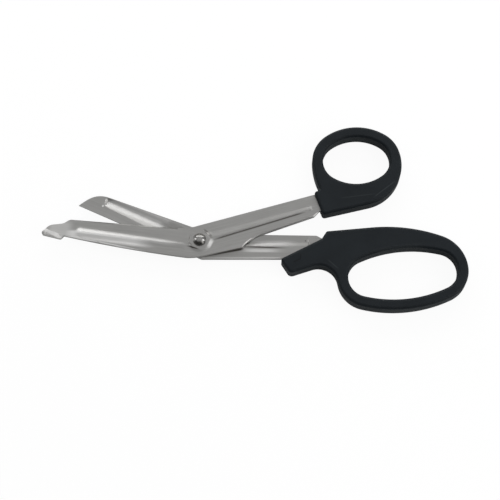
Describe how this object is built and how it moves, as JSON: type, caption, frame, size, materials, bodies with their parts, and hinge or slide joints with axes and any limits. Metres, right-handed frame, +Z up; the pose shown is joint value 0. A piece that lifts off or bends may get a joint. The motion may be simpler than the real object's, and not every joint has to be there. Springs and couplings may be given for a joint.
{
  "type": "bandage scissors",
  "caption": "Angled bandage scissors with stamped steel blades on a domed rivet, a blunt foot on the lower blade, and moulded handles with a thumb ring and a finger loop.",
  "frame": {"origin": "under the middle of the whole, on the plane that the handles lie on", "axes": "+X from the blade tips to the handles, +Y to the thumb ring, +Z up out of the face with the domed rivet head"},
  "size_m": [0.185, 0.0836, 0.0085],
  "materials": {
    "blade_steel": "satin brushed",
    "rivet_steel": "polished",
    "handle_plastic": "satin moulded"
  },
  "bodies": {
    "finger_side": {"rear_blade": "blade_steel", "finger_handle": "handle_plastic", "pivot_rivet": "rivet_steel"},
    "thumb_side": {"front_blade": "blade_steel", "thumb_handle": "handle_plastic"}
  },
  "joints": [
    {"name": "pivot", "type": "hinge", "parent": "finger_side", "child": "thumb_side", "pos_m": [-0.02379, -0.01018, 0.004], "axis": [0, 0, 1], "range_deg": [-7.7, 60]}
  ]
}
